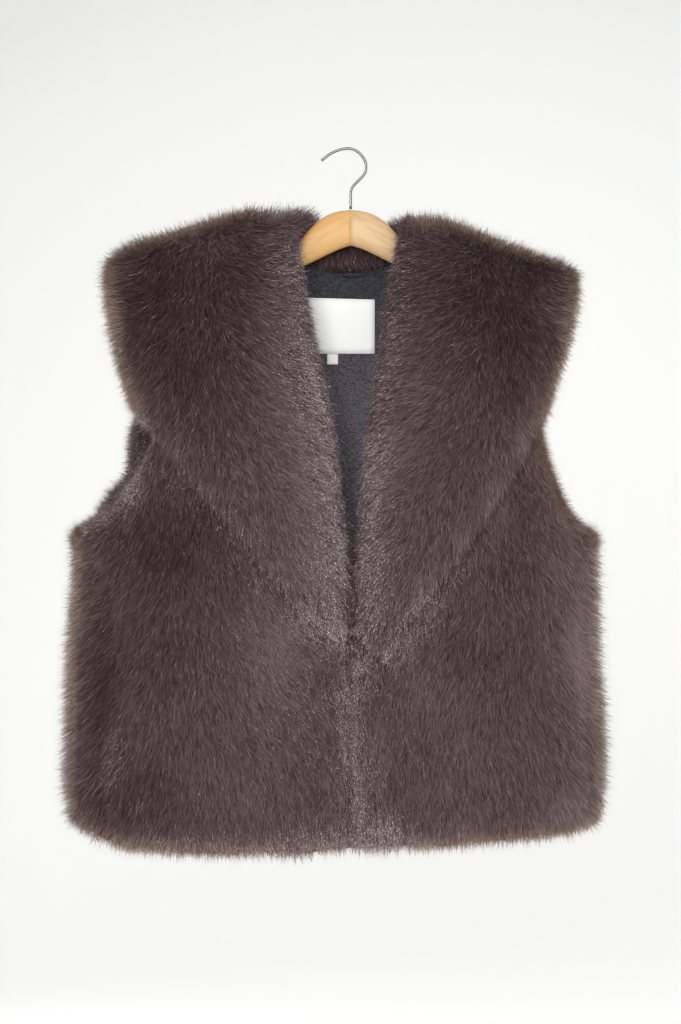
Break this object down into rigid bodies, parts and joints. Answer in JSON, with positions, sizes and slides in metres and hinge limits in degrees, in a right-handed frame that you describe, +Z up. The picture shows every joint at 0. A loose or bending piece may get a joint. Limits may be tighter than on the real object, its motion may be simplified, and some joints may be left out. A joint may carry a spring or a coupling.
{
  "type": "long-pile gilet on a wooden hanger",
  "caption": "Sleeveless hip-length gilet in long-pile cloth with a wide shawl collar, hung open-necked on a two-part wooden hanger with a wire hook.",
  "frame": {"origin": "inside the top of the hanger's hook, where it bears on a nail or a rail", "axes": "+Z up along the hanger's stem; the garment's front faces -Y; +X is the wearer's left"},
  "size_m": [0.54, 0.1697, 0.7091],
  "materials": {
    "fur": "long soft pile with a silvery sheen on its tips",
    "lining": "fine matt weave",
    "label": "woven satin",
    "wood_honey": "clear satin lacquer",
    "wood_pale": "clear satin lacquer",
    "wire": "bright drawn wire"
  },
  "bodies": {
    "root": {"back": "fur", "front_right": "fur", "front_left": "fur", "collar_right": "fur", "collar_left": "fur", "lining_back": "lining", "main_label": "label", "size_tab": "label", "hanger_arm_right": "wood_honey", "hanger_arm_left": "wood_pale", "hanger_hook": "wire"}
  },
  "joints": []
}
